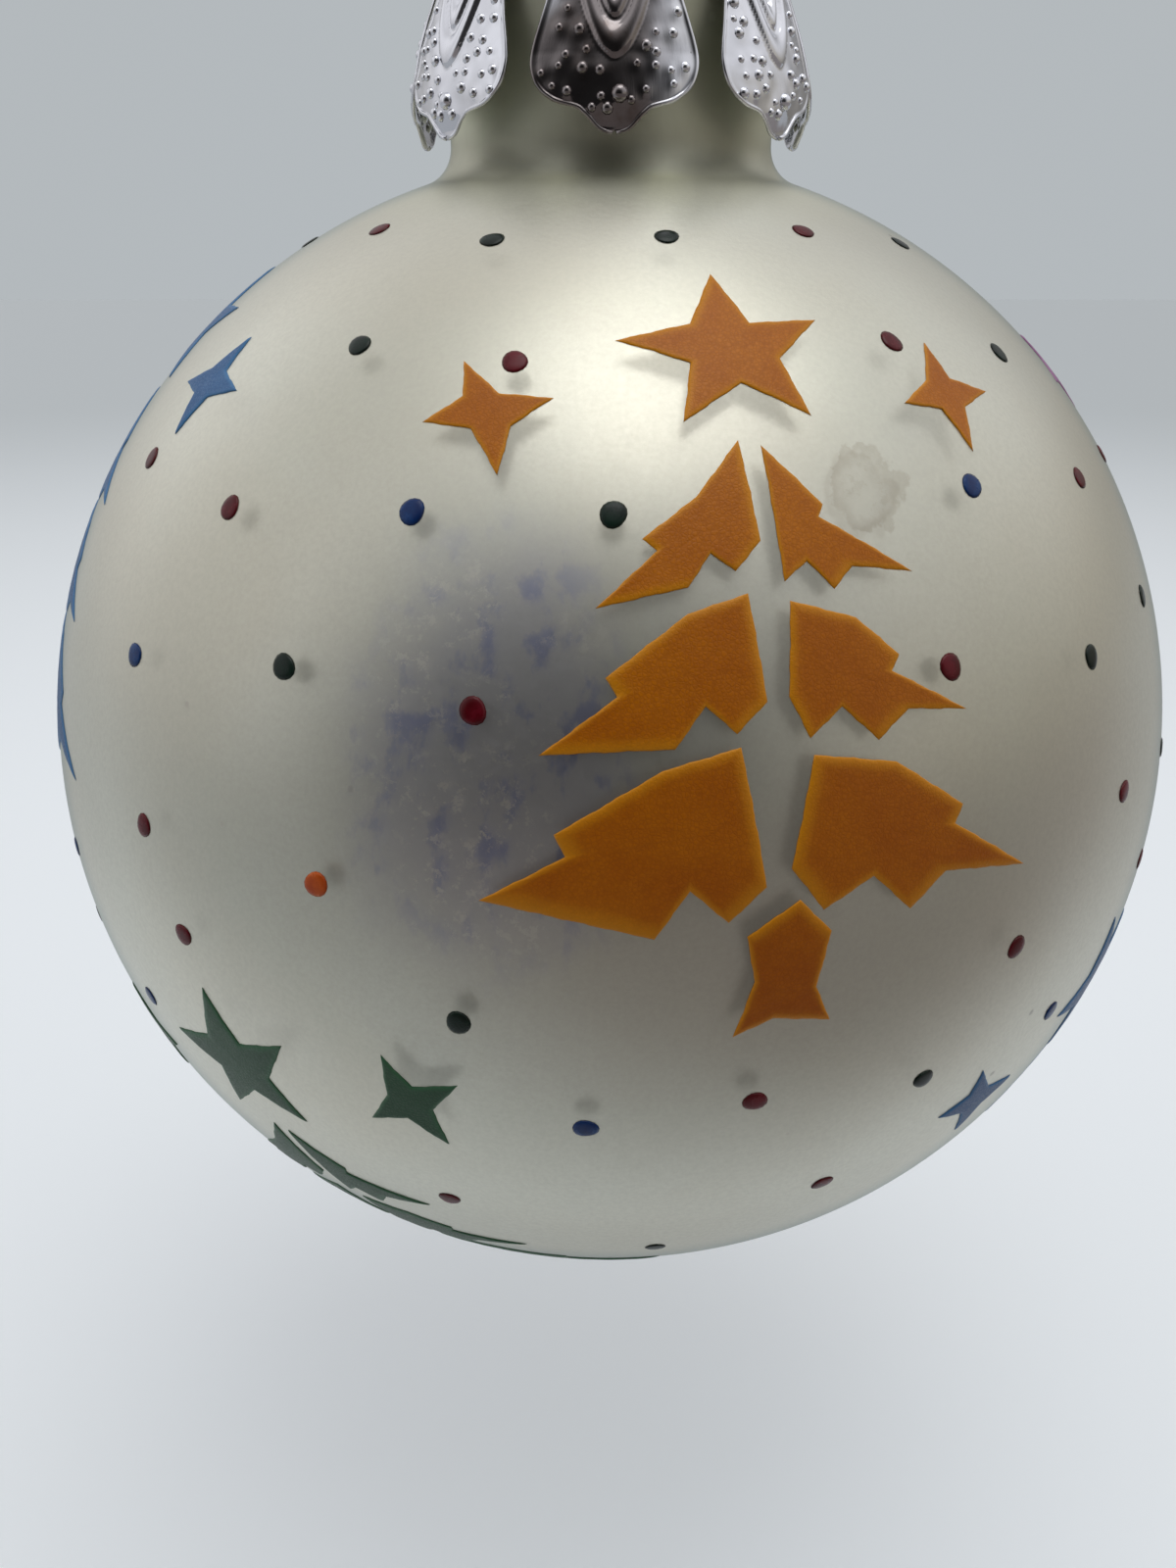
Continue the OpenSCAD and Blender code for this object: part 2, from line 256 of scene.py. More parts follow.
# Masks from the two groups.
def grain(tree, place, scale, low, high, roughness=0.6):
    return addNode(tree, "ShaderNodeGroup", {"node_tree": grainGroup}, Vector=place, Scale=scale,
                   Roughness=roughness, Low=low, High=high).outputs["Mask"]


def specks(tree, place, scale, size, share):
    return addNode(tree, "ShaderNodeGroup", {"node_tree": speckGroup}, Vector=place, Scale=scale,
                   Size=size, Share=share).outputs["Mask"]


# A new material with its node tree, its shader and the object's own coordinates.
def newMaterial(name):
    material = bpy.data.materials.new(name)
    material.use_nodes = True
    tree = material.node_tree
    return material, tree, tree.nodes["Principled BSDF"], tree.nodes.new("ShaderNodeTexCoord").outputs["Object"]


# Fine relief from a height mask.
def addBump(tree, shader, height, strength, distance):
    bump = addNode(tree, "ShaderNodeBump", None, Strength=strength, Distance=distance, Height=height)
    tree.links.new(bump.outputs[0], shader.inputs["Normal"])


studio = {
    "floorDrop": 0.045,                       # how far the floor lies below the ball
    "floorHalf": 3.0,
    "floorColour": (0.79, 0.83, 0.86, 1),
    "floorGlow": 0.19,                        # lifts the floor as the camera sees it
    "farFloor": (0.478, 0.514, 0.529, 1),     # floor colour towards the horizon
    "fade": (0.17, 1.15),                     # distances between which it takes over
    "shadeWay": (0.5, -0.87, 0.0),            # in reflections the floor darkens this way
    "shadeReach": (0.025, 0.175),             # between these distances
    "shadeFloor": (0.28, 0.25, 0.24, 1),
    "dim": (0.1, 0.32),                       # and all round between these
    "dimDepth": 0.32,
    "backdrop": (0.455, 0.487, 0.508, 1),
    "roomLevel": 0.5,
    "coolLight": (1.0, 1.0, 1.02, 1),
    "warmLight": (1.04, 0.98, 0.87, 1),       # low on the right
    "sides": [                                # direction (east, north, up), sharpness, brightness
        ((-1.0, -0.6, 0.6), 7.0, 0.5),
        ((-0.7, 0.5, 0.5), 12.0, 0.42),
        ((0.8, 0.3, 0.5), 12.0, 0.32),
        ((1.0, -0.15, 0.9), 6.0, 0.28),
        ((1.0, 0.25, -0.1), 6.0, -0.26),
        ((0.55, 0.85, -0.05), 5.0, -0.24),
        ((-0.55, 0.85, -0.05), 5.0, -0.1),
    ],
    "overhead": ((0.07, -0.12, 1.0), 11.0, 0.88),
    "shade": ((-0.2, -1.0, 0.12), 0.44, 0.93, 0.95),   # dark side: direction, cosines at its start and middle, depth
    "lampSize": (0.42, 0.36),
    "lampPlace": (0.06, -0.05, 0.5),
    "lampPower": 0.6,
    "lampColour": (1.0, 1.0, 0.98),
}


# A direction with length 1.
def unit(vector):
    v = np.array(vector, float)
    return tuple(v / np.linalg.norm(v))


# Soft blob of light: exp(sharpness * (cosine of the angle to its direction - 1)).
def softLobe(tree, direction, towards, sharpness):
    away = mathNode(tree, "SUBTRACT", vectorNode(tree, "DOT_PRODUCT", direction, unit(towards), "Value"), 1.0)
    return mathNode(tree, "EXPONENT", times(tree, away, sharpness))


# Room light: an even level and lobes at the sides, dimmed on the dark side, and a lobe overhead on top.
# The camera itself sees a plain backdrop.
def makeWorld():
    world = bpy.data.worlds.new("studio")
    bpy.context.scene.world = world
    world.use_nodes = True
    tree = world.node_tree
    ray = vectorNode(tree, "NORMALIZE", tree.nodes.new("ShaderNodeTexCoord").outputs["Generated"])
    level = studio["roomLevel"]
    for towards, sharpness, strength in studio["sides"]:
        level = plus(tree, times(tree, softLobe(tree, ray, towards, sharpness), strength), level)
    towards, start, full, depth = studio["shade"]
    facing = vectorNode(tree, "DOT_PRODUCT", ray, unit(towards), "Value")
    level = times(tree, level, remap(tree, facing, start, full, 1.0, 1.0 - depth))
    towards, sharpness, strength = studio["overhead"]
    level = plus(tree, times(tree, softLobe(tree, ray, towards, sharpness), strength), level)
    warm = times(tree, remap(tree, coordinate(tree, ray, 0), 0.2, 1.0),
                 remap(tree, coordinate(tree, ray, 2), 0.45, 0.05))
    light = mixColour(tree, warm, studio["coolLight"], studio["warmLight"])
    seen = tree.nodes.new("ShaderNodeLightPath").outputs["Is Camera Ray"]
    colour = mixColour(tree, seen, scaledVector(tree, light, level), studio["backdrop"])
    tree.links.new(colour, tree.nodes["Background"].inputs["Color"])


# Pale floor. The camera sees it fade into the backdrop; reflections see it dimmer further out and on one side.
def makeFloor():
    half, height = studio["floorHalf"], float(glassLow[2]) - studio["floorDrop"]
    mesh = bpy.data.meshes.new("floor")
    mesh.from_pydata([(-half, -half, height), (half, -half, height), (half, half, height), (-half, half, height)],
                     [], [(0, 1, 2, 3)])
    floor = bpy.data.objects.new("floor", mesh)
    bpy.context.scene.collection.objects.link(floor)
    material, tree, shader, place = newMaterial("paleFloor")
    cloud = addNode(tree, "ShaderNodeTexNoise", None, Vector=place, Scale=3.0, Detail=2.0).outputs[0]
    tone = mixColour(tree, cloud, studio["floorColour"], darker(studio["floorColour"], 0.97))
    seen = tree.nodes.new("ShaderNodeLightPath").outputs["Is Camera Ray"]
    unseen = mathNode(tree, "SUBTRACT", 1.0, seen)
    reached = vectorNode(tree, "LENGTH", vectorNode(tree, "MULTIPLY", place, (1.0, 1.0, 0.0)), output="Value")
    tone = mixColour(tree, times(tree, remap(tree, reached, *studio["fade"]), seen), tone, studio["farFloor"])
    dim = times(tree, remap(tree, reached, *studio["dim"], 0.0, studio["dimDepth"]), unseen)
    tone = mixColour(tree, dim, tone, (0.0, 0.0, 0.0, 1))
    reach = vectorNode(tree, "DOT_PRODUCT", place, studio["shadeWay"], "Value")
    shade = times(tree, remap(tree, reach, *studio["shadeReach"]), unseen)
    fill(tree, shader, {"Base Color": mixColour(tree, shade, tone, studio["shadeFloor"]), "Roughness": 0.6,
                        "Emission Color": tone, "Emission Strength": times(tree, seen, studio["floorGlow"])})
    mesh.materials.append(material)


# Large soft lamp above, aimed at the ball.
def makeLamp():
    lamp = bpy.data.lights.new("softbox", "AREA")
    lamp.shape = "RECTANGLE"
    lamp.size, lamp.size_y = studio["lampSize"]
    lamp.energy = studio["lampPower"]
    lamp.color = studio["lampColour"]
    box = bpy.data.objects.new("softbox", lamp)
    box.location = studio["lampPlace"]
    box.rotation_mode = "QUATERNION"
    box.rotation_quaternion = Vector(ballCentre - np.array(box.location)).to_track_quat("-Z", "Y")
    bpy.context.scene.collection.objects.link(box)


makeWorld()
makeFloor()
makeLamp()
print("studio set")


view = {
    "lens": 29.25,
    "sensor": 36.0,
    "nearest": 5 * mm,
    "pitch": 23.37,                          # degrees below the horizon
    "place": (-0.0376, -2.3617, 0.8785),     # from the ball's centre, in ball radii
}
cameraData = bpy.data.cameras.new("camera")
cameraData.lens = view["lens"]
cameraData.sensor_width = view["sensor"]
camera = bpy.data.objects.new("camera", cameraData)
camera.location = ballCentre + ballRadius * np.array(view["place"])
camera.rotation_euler = (math.radians(90 - view["pitch"]), 0, 0)
cameraData.clip_start = view["nearest"]
bpy.context.scene.collection.objects.link(camera)
bpy.context.scene.camera = camera
bpy.context.scene.view_settings.view_transform = "Standard"


glass = {
    "wall": 1.0 * mm,
    "neckRadius": 13.2 * mm,
    "neckWall": 1.1 * mm,
    "sweep": 3.0 * mm,
    "around": 288,
    "coatGap": 0.03 * mm,
    "coatThick": 0.15 * mm,
    "coatTop": 0.5 * mm,      # bare glass left below the rim
}


# Half-section of the ball and neck sunk by a depth: an arc up the ball, the sweep's arc turned the other way,
# and a line up the neck.
def sunkProfile(depth, top, ballSteps, sweepSteps):
    k = glass["neckWall"] / glass["wall"]
    radius, neck, sweep = ballRadius - depth, glass["neckRadius"] - depth * k, glass["sweep"] + depth * k
    centre = np.array([neck + sweep, math.sqrt((radius + sweep) ** 2 - (neck + sweep) ** 2)])
    joinAngle = math.degrees(math.atan2(centre[1], centre[0]))
    body = arc((0, 0), radius, -90, joinAngle, ballSteps)
    bend = arc(centre, sweep, joinAngle + 180, 180, sweepSteps)
    up = np.stack([np.full(8, neck), np.linspace(centre[1], top, 8)], axis=-1)
    return np.concatenate([body[1:], bend[1:], up[1:]])


# Rounded lip: half a circle between two radii.
def lipArc(outer, inner, top, steps):
    middle, half = (outer + inner) / 2, (outer - inner) / 2
    return arc((middle, top - half), half, 0, 180, steps)


# The glass: its outside, the lip and its inside as one spun section.
def makeGlass():
    neck, wall = glass["neckRadius"], glass["neckWall"]
    half = wall / 2
    outside = sunkProfile(0, rimHeight - half, 180, 14)
    inside = sunkProfile(glass["wall"], rimHeight - half, 120, 12)[::-1]
    lip = lipArc(neck, neck - wall, rimHeight, 12)
    profile = np.concatenate([outside, lip[1:-1], inside])
    rings = spun(profile, glass["around"]) + ballCentre
    skin = poledSkin(ballCentre - [0, 0, ballRadius], rings, ballCentre - [0, 0, ballRadius - glass["wall"]])
    return skin, len(outside)


# The coat: a thin skin just inside the glass, open at its top.
def makeCoat():
    depth = glass["wall"] + glass["coatGap"]
    top = rimHeight - glass["coatTop"]
    outside = sunkProfile(depth, top, 150, 14)
    inside = sunkProfile(depth + glass["coatThick"], top, 90, 10)[::-1]
    rings = spun(np.concatenate([outside, inside]), 240) + ballCentre
    low = ballCentre - [0, 0, ballRadius - depth]
    return poledSkin(low, rings, low + [0, 0, glass["coatThick"]])


coat = {
    "colour": (0.81, 0.81, 0.71, 1),
    "warm": (0.78, 0.76, 0.65, 1),
    "grainTone": (0.4, 0.39, 0.36, 1),
    "rim": (0.50, 0.55, 0.50, 1),
    "neck": (0.80, 0.81, 0.65, 1),
    "paintedFoldShade": (0.42, 0.41, 0.34, 1),              # painted shade in the fold where the neck springs from the ball
    "patchCentre": (-0.166, -0.942, 0.292),     # middle of the worn patch, as a direction from the ball's centre
    "patchSize": 20 * mm,
    "patchNarrow": 1.6,                         # how much narrower than tall it is
    "patchTone": (0.60, 0.60, 0.66, 1),
    "blotTone": (0.38, 0.41, 0.60, 1),
    "fleckTone": (1.0, 0.96, 0.86, 1),
    "stainCentre": (0.312, -0.748, 0.586),      # dried water mark
    "stainSize": 3.7 * mm,
    "stainTone": (0.40, 0.35, 0.27, 1),
}


# The coat seen straight through the glass: a spot's direction from the ball's centre, times the ball's radius.
def onBall(tree, place):
    offset = vectorNode(tree, "SUBTRACT", place, tuple(ballCentre))
    return scaledVector(tree, vectorNode(tree, "NORMALIZE", offset), ballRadius)


# Distance from a spot on the ball, given as a direction, with the sideways part stretched.
def distanceTo(tree, spot, direction, narrow=1.0):
    middle = tuple(np.array(unit(direction)) * ballRadius)
    offset = vectorNode(tree, "MULTIPLY", vectorNode(tree, "SUBTRACT", spot, middle), (narrow, 1.0, 1.0))
    return vectorNode(tree, "LENGTH", offset, output="Value")


# The coat's colour: faint warm clouds and fine grain, a worn patch of bluish blots and pale flecks,
# a dried water ring, olive up the neck, and painted shade in the fold at the neck's foot.
def coatTint(tree, place):
    spot = onBall(tree, place)
    clouds = grain(tree, spot, 45.0, 0.3, 0.7, roughness=0.5)
    fine = grain(tree, spot, 2600.0, 0.25, 0.75, roughness=0.7)
    colour = mixColour(tree, clouds, coat["colour"], coat["warm"])
    colour = mixColour(tree, times(tree, fine, 0.16), colour, coat["grainTone"])

    wobble = grain(tree, spot, 110.0, 0.2, 0.8)
    away = distanceTo(tree, spot, coat["patchCentre"], coat["patchNarrow"])
    away = plus(tree, away, times(tree, wobble, 5 * mm))
    patch = remap(tree, away, coat["patchSize"], 0.5 * coat["patchSize"])
    tall = addNode(tree, "ShaderNodeMapping", None, Vector=spot, Scale=(1.0, 1.0, 0.55)).outputs[0]
    blots = grain(tree, tall, 560.0, 0.5, 0.64, roughness=0.55)
    flecks = grain(tree, spot, 1100.0, 0.54, 0.62, roughness=0.8)
    flecks = times(tree, flecks, remap(tree, wobble, 0.2, 0.7))
    colour = mixColour(tree, times(tree, patch, 0.55), colour, coat["patchTone"])
    colour = mixColour(tree, times(tree, blots, patch, 0.75), colour, coat["blotTone"])
    colour = mixColour(tree, times(tree, flecks, patch, 0.85), colour, coat["fleckTone"])

    ring = distanceTo(tree, spot, coat["stainCentre"])
    ripple = grain(tree, spot, 420.0, 0.2, 0.8)
    ring = plus(tree, ring, times(tree, ripple, 1.8 * mm))
    outer = remap(tree, ring, coat["stainSize"] * 1.06, coat["stainSize"] * 0.96)
    inner = remap(tree, ring, coat["stainSize"] * 0.6, coat["stainSize"] * 0.97, 0.2, 1.0)
    marks = grain(tree, spot, 1000.0, 0.5, 0.62, roughness=0.7)
    inner = mathNode(tree, "MAXIMUM", inner, times(tree, marks, 0.7))
    colour = mixColour(tree, times(tree, outer, inner, 0.5), colour, coat["stainTone"])

    height = coordinate(tree, place, 2)
    onNeck = remap(tree, height, ballHeight + 0.86 * ballRadius, ballHeight + 1.02 * ballRadius)
    rough = plus(tree, levels(tree, fine, 0.35, 0.42), times(tree, onNeck, 0.14))
    colour = mixColour(tree, onNeck, colour, coat["neck"])
    # painted shade: a darker band round the fold where the neck springs from the ball
    rising = remap(tree, height, ballHeight + 0.93 * ballRadius, ballHeight + 0.985 * ballRadius)
    falling = remap(tree, height, ballHeight + 1.05 * ballRadius, ballHeight + 0.99 * ballRadius)
    paintedFoldShade = times(tree, rising, falling, remap(tree, clouds, 0.0, 1.0, 0.35, 0.6))
    return mixColour(tree, paintedFoldShade, colour, coat["paintedFoldShade"]), rough, fine


# Satin glass: a veil of the coat's own colour over the coat, closing towards the outline, which the coat fills.
def glassMaterial():
    material, tree, shader, place = newMaterial("frostedGlass")
    veil, rough, fine = coatTint(tree, place)
    dust = specks(tree, place, 420.0, 0.16, 0.03)
    facing = addNode(tree, "ShaderNodeLayerWeight", None, Blend=0.5).outputs["Facing"]
    veil = mixColour(tree, remap(tree, facing, 0.82, 0.99), veil, coat["rim"])
    veil = mixColour(tree, times(tree, dust, 0.5), veil, (0.3, 0.28, 0.25, 1))
    haze = remap(tree, facing, 0.25, 0.68, 0.42, 1.0)
    haze = mathNode(tree, "ADD", haze, times(tree, dust, 0.3), clamp=True)
    fill(tree, shader, {"Base Color": veil, "Metallic": 0.9, "Alpha": haze, "Roughness": rough})
    addBump(tree, shader, fine, 0.2, 0.02 * mm)
    return material


# The glass's inner face: almost clear.
def innerGlassMaterial():
    material, tree, shader, place = newMaterial("clearGlass")
    fine = grain(tree, place, 800.0, 0.3, 0.7)
    tint = mixColour(tree, fine, (0.7, 0.76, 0.72, 1), (0.6, 0.68, 0.64, 1))
    fill(tree, shader, {"Base Color": tint, "Alpha": levels(tree, fine, 0.01, 0.03), "Roughness": 0.45})
    return material


# Pearl silver: a rough metal.
def coatMaterial():
    material, tree, shader, place = newMaterial("pearlCoat")
    tint, rough, _ = coatTint(tree, place)
    fill(tree, shader, {"Base Color": tint, "Metallic": 0.95, "Roughness": rough})
    return material


glassSkin, outsideRings = makeGlass()
around = glass["around"]
glassQuads = len(glassSkin[1])
glassSlots = np.zeros(glassQuads + len(glassSkin[2]))
glassSlots[outsideRings * around:glassQuads] = 1
glassSlots[glassQuads + around:] = 1
makePiece("glassBall", [glassSkin], "ball", ["glass_ball"],
          [glassMaterial(), innerGlassMaterial()], glassSlots)
makePiece("pearlCoat", [makeCoat()], "ball", ["pearl_lining"], [coatMaterial()])
print("ball blown and coated")


printing = {
    "gap": 0.012 * mm,        # enamel starts this far above the glass
    "thick": 0.12 * mm,
    "step": 0.35 * mm,        # spacing of points along an outline
    "wander": 0.05 * mm,      # how far a printed edge strays
    "upperLatitude": 26.0,
    "upperStart": 12.0,
    "lowerLatitude": -36.0,
    "lowerStart": -30.0,
    "lowerLean": 14.0,
}
shards = [
    [(0.4, 25), (2, 20.8), (6.8, 21.2), (3.4, 18), (4.6, 13.8),
     (0.4, 16.2), (-3.8, 13.6), (-2.6, 17.8), (-7, 19.8), (-2, 20.8)],
    [(-16.4, 19.6), (-14.6, 16.8), (-11.4, 16), (-14.2, 14.4),
     (-15.4, 11.2), (-16.6, 14.6), (-19.4, 15.6), (-16.8, 17)],
    [(15.2, 20.2), (16.4, 17.4), (19.6, 16.8), (17, 15.2), (16.6, 11.8), (14.8, 14.8), (11.8, 15), (14.2, 17)],
    [(-0.6, 12.2), (-0.2, 5.6), (-2, 3.8), (-3.4, 5), (-5, 3), (-10.6, 2.2), (-6.6, 5.4), (-7.4, 6.2), (-3.8, 8.6)],
    [(0.8, 11.8), (4.2, 7.8), (3.8, 7), (9.8, 3.4), (5.6, 3.8), (4.2, 2.4), (2.6, 4.2), (1, 3), (0.9, 5.6)],
    [(-1.4, 2.4), (-0.8, -4.2), (-2.8, -6), (-4.6, -4.2), (-6.6, -6.6),
     (-14.6, -6.2), (-9.8, -3.2), (-10.4, -2), (-5.2, 1.4)],
    [(1.2, 1.8), (5.4, 0.6), (8.2, -1.8), (7.6, -2.8), (13, -5.4),
     (8.6, -5.2), (6.4, -7), (4, -4.8), (1.8, -6.6), (0.6, -4)],
    [(-2.6, -6.8), (-1.2, -15.4), (-3.6, -17.4), (-6, -15.2), (-8.2, -18),
     (-18.6, -14.6), (-13.4, -12.4), (-14, -11), (-7.4, -7.8)],
    [(2, -7.6), (7.6, -8.4), (12.6, -11.4), (12, -12.6), (18.2, -15.8),
     (11.4, -15.6), (8.8, -17.8), (6, -15.4), (2.6, -17.2), (0.4, -14.4)],
    [(-2.4, -18.4), (1, -16.4), (3.2, -18.6), (2.4, -22.2), (3.6, -24.6), (-0.4, -24), (-3, -25), (-1.8, -21.4)],
]
trees = [(colour, printing["upperLatitude"], printing["upperStart"] + 90 * k, 0.0)
         for k, colour in enumerate(("orange", "violet", "green", "blue"))]
trees += [(colour, printing["lowerLatitude"], printing["lowerStart"] + 90 * k, printing["lowerLean"])
          for k, colour in enumerate(("green", "blue", "orange", "violet"))]


# Direction out of the ball at a latitude and longitude, in degrees; longitude 0 is the front.
def outward(latitude, longitude):
    a, b = np.radians(latitude), np.radians(longitude)
    return np.stack([np.sin(b) * np.cos(a), -np.cos(b) * np.cos(a), np.sin(a) + 0 * b], axis=-1)


# The across, up and out directions of a flat drawing laid on the ball.
def drawingAxes(latitude, longitude, lean):
    b, c = math.radians(longitude), math.radians(lean)
    levelAcross = np.array([math.cos(b), math.sin(b), 0.0])
    levelUp = outward(latitude + 90, longitude)
    across = math.cos(c) * levelAcross + math.sin(c) * levelUp
    up = math.cos(c) * levelUp - math.sin(c) * levelAcross
    return across, up, outward(latitude, longitude)


# Lays flat points on a sphere: p = u across + v up + sqrt(r * r - u * u - v * v) out.
def laidOnBall(flat, radius, axes):
    across, up, out = axes
    u, v = flat[..., 0, None], flat[..., 1, None]
    rise = np.sqrt(np.asarray(radius)[..., None] ** 2 - u * u - v * v)
    return ballCentre + u * across + v * up + rise * out


# The point of an outline that sees all of it with the most room: the best, over a grid of points, of the
# least distance to the lines of its edges.
def shardHeart(outline):
    ahead = np.roll(outline, -1, axis=0) - outline
    area = np.sum(outline[:, 0] * ahead[:, 1] - outline[:, 1] * ahead[:, 0])
    inward = np.stack([-ahead[:, 1], ahead[:, 0]], axis=-1) * np.sign(area)
    inward /= np.linalg.norm(inward, axis=-1, keepdims=True)
    low, high = outline.min(axis=0), outline.max(axis=0)
    u, v = np.meshgrid(np.linspace(low[0], high[0], 121), np.linspace(low[1], high[1], 121))
    spots = np.stack([u.ravel(), v.ravel()], axis=-1)
    room = ((spots[:, None, :] - outline) * inward).sum(axis=-1).min(axis=1)
    return spots[room.argmax()]


# Outline walked at an even step, with every corner kept and a slight wander on the straights.
def walkedOutline(outline, step, wander, phase):
    ahead = np.roll(outline, -1, axis=0) - outline
    counts = np.maximum(2, np.ceil(np.linalg.norm(ahead, axis=-1) / step)).astype(int)
    edge = np.repeat(np.arange(len(outline)), counts)
    t = np.concatenate([np.arange(n) / n for n in counts])[:, None]
    side = np.stack([-ahead[:, 1], ahead[:, 0]], axis=-1) / np.linalg.norm(ahead, axis=-1, keepdims=True)
    points = outline[edge] + t * ahead[edge]
    run = np.arange(len(points))[:, None]
    sway = np.sin(0.9 * run + phase) + 0.6 * np.sin(2.3 * run + 2 * phase)
    return points + side[edge] * sway * wander * np.sin(np.pi * t) * 0.6


# One shard: rings from its heart out to its outline, raised by a rounded shoulder near the edge, and a flat underside.
def shardSkin(outline, axes, phase):
    outline = np.array(outline, float) * mm
    heart = shardHeart(outline)
    edge = walkedOutline(outline, printing["step"], printing["wander"], phase)
    spread = np.array([0.18, 0.36, 0.54, 0.7, 0.82, 0.9, 0.95, 0.98, 1.0])
    shoulder = np.sqrt(np.clip(1 - np.clip((spread - 0.86) / 0.14, 0, 1) ** 2, 0, 1))
    shoulder[-1] = 0.15
    flat = heart + spread[:, None, None] * (edge - heart)
    base = ballRadius + printing["gap"]
    swell = 0.08 * printing["thick"] * np.sin(flat[..., 0] * 2400 + phase) * np.sin(flat[..., 1] * 2100 - phase)
    top = laidOnBall(flat, base + printing["thick"] * shoulder[:, None] + swell * shoulder[:, None], axes)
    underSpread = np.array([1.0, 0.8, 0.5, 0.25])
    underFlat = heart + underSpread[:, None, None] * (edge - heart)
    under = laidOnBall(underFlat, np.full(underFlat.shape[:2], base), axes)
    topPole = laidOnBall(heart, np.array(base + printing["thick"]), axes)
    underPole = laidOnBall(heart, np.array(base), axes)
    nearEdge = np.repeat(np.clip((spread - 0.8) / 0.2, 0, 1), len(edge))
    thin = np.concatenate([[0], nearEdge, np.ones(4 * len(edge)), [1]])
    return poledSkin(topPole, np.concatenate([top, under]), underPole), thin


enamels = {
    "orange": {"deep": (0.355, 0.076, 0.0003, 1), "pale": (0.56, 0.175, 0.002, 1), "edge": (0.86, 0.38, 0.01, 1)},
    "green": {"deep": (0.018, 0.07, 0.03, 1), "pale": (0.035, 0.11, 0.05, 1), "edge": (0.07, 0.2, 0.1, 1)},
    "blue": {"deep": (0.012, 0.08, 0.24, 1), "pale": (0.035, 0.15, 0.36, 1), "edge": (0.1, 0.27, 0.5, 1)},
    "violet": {"deep": (0.2, 0.07, 0.2, 1), "pale": (0.34, 0.15, 0.32, 1), "edge": (0.5, 0.25, 0.45, 1)},
}


# Printed enamel: leathery grain in the surface, thicker and thinner clouds of colour, painted light that makes each
# print paler higher up the ball, and a satin gloss.
def enamelMaterial(colourName):
    tints = enamels[colourName]
    material, tree, shader, place = newMaterial(colourName + "Enamel")
    clouds = grain(tree, place, 190.0, 0.3, 0.7)
    cells = addNode(tree, "ShaderNodeTexVoronoi", {"feature": "DISTANCE_TO_EDGE"}, Vector=place, Scale=3600.0)
    leather = remap(tree, cells.outputs["Distance"], 0.0, 0.25)
    fine = grain(tree, place, 3000.0, 0.35, 0.65, roughness=0.7)
    height = coordinate(tree, place, 2)
    # painted light: each print is paler higher up the ball, as if lit from above, mixed with random clouds of thicker
    # and thinner enamel
    rise = remap(tree, height, ballHeight - 0.25 * ballRadius, ballHeight + 0.65 * ballRadius, smooth=False)
    cloudsAndPaintedTopLight = plus(tree, times(tree, clouds, 0.35), times(tree, rise, 0.65))
    colour = mixColour(tree, cloudsAndPaintedTopLight, tints["deep"], tints["pale"])
    dark = darker(tints["deep"], 0.6)
    colour = mixColour(tree, times(tree, mathNode(tree, "SUBTRACT", 1.0, leather), 0.2), colour, dark)
    colour = mixColour(tree, times(tree, fine, 0.2), colour, dark)
    thin = addNode(tree, "ShaderNodeAttribute", {"attribute_name": "edge"}).outputs["Fac"]
    colour = mixColour(tree, times(tree, thin, 0.5), colour, tints["edge"])
    fill(tree, shader, {"Base Color": colour, "Roughness": levels(tree, leather, 0.45, 0.33),
                        "Specular IOR Level": 0.22})
    addBump(tree, shader, plus(tree, leather, times(tree, fine, 0.5)), 0.4, 0.022 * mm)
    return material


enamelPaints = {name: enamelMaterial(name) for name in enamels}
for index, (colourName, latitude, longitude, lean) in enumerate(trees):
    band = "upper" if index < 4 else "lower"
    axes = drawingAxes(latitude, longitude, lean)
    skins, edges = zip(*[shardSkin(outline, axes, 1.7 * n + index) for n, outline in enumerate(shards)])
    piece = makePiece(colourName + "Tree" + band.capitalize(), skins, "ball",
                      [colourName + "_tree_" + band], [enamelPaints[colourName]])
    edgeData = piece.data.attributes.new("edge", "FLOAT", "POINT").data
    edgeData.foreach_set("value", np.concatenate(edges).astype(np.float32))
print("trees printed")


dots = {
    "radius": 0.85 * mm,
    "thick": 0.13 * mm,
    "margin": 0.8 * mm,
    "stray": 1.2,             # degrees
    "rows": [                 # latitude, number round the ball, first longitude, colours in turn
        (61, 13, 7, "gr"), (47, 17, -31, "grbrg"), (34, 20, -55, "rrbgrbr"), (21, 20, -64, "gbgrbrg"),
        (7, 20, -42, "robrbrg"), (-2, 15, -13, "gbrr"), (-12, 24, -3, "brg"), (-26, 10, -15, "rrb"),
        (-37, 8, 6, "gbr"), (-52, 8, 15, "rbg"), (-68, 6, 0, "br")],
}


# True for flat spots outside an outline by more than the margin: an odd count of crossed edges is inside.
def clearOfShard(spots, outline, margin):
    a, b = outline, np.roll(outline, -1, axis=0)
    run = b - a
    offset = spots[:, None, :] - a
    t = np.clip((offset * run).sum(-1) / (run * run).sum(-1), 0, 1)
    gap = np.linalg.norm(offset - t[..., None] * run, axis=-1).min(axis=1)
    straddles = (a[:, 1] > spots[:, None, 1]) != (b[:, 1] > spots[:, None, 1])
    rise = np.where(run[:, 1] == 0, 1e-12, run[:, 1])
    reach = a[:, 0] + (spots[:, None, 1] - a[:, 1]) * run[:, 0] / rise
    inside = (straddles & (spots[:, None, 0] < reach)).sum(axis=1) % 2 == 1
    return ~inside & (gap > margin)


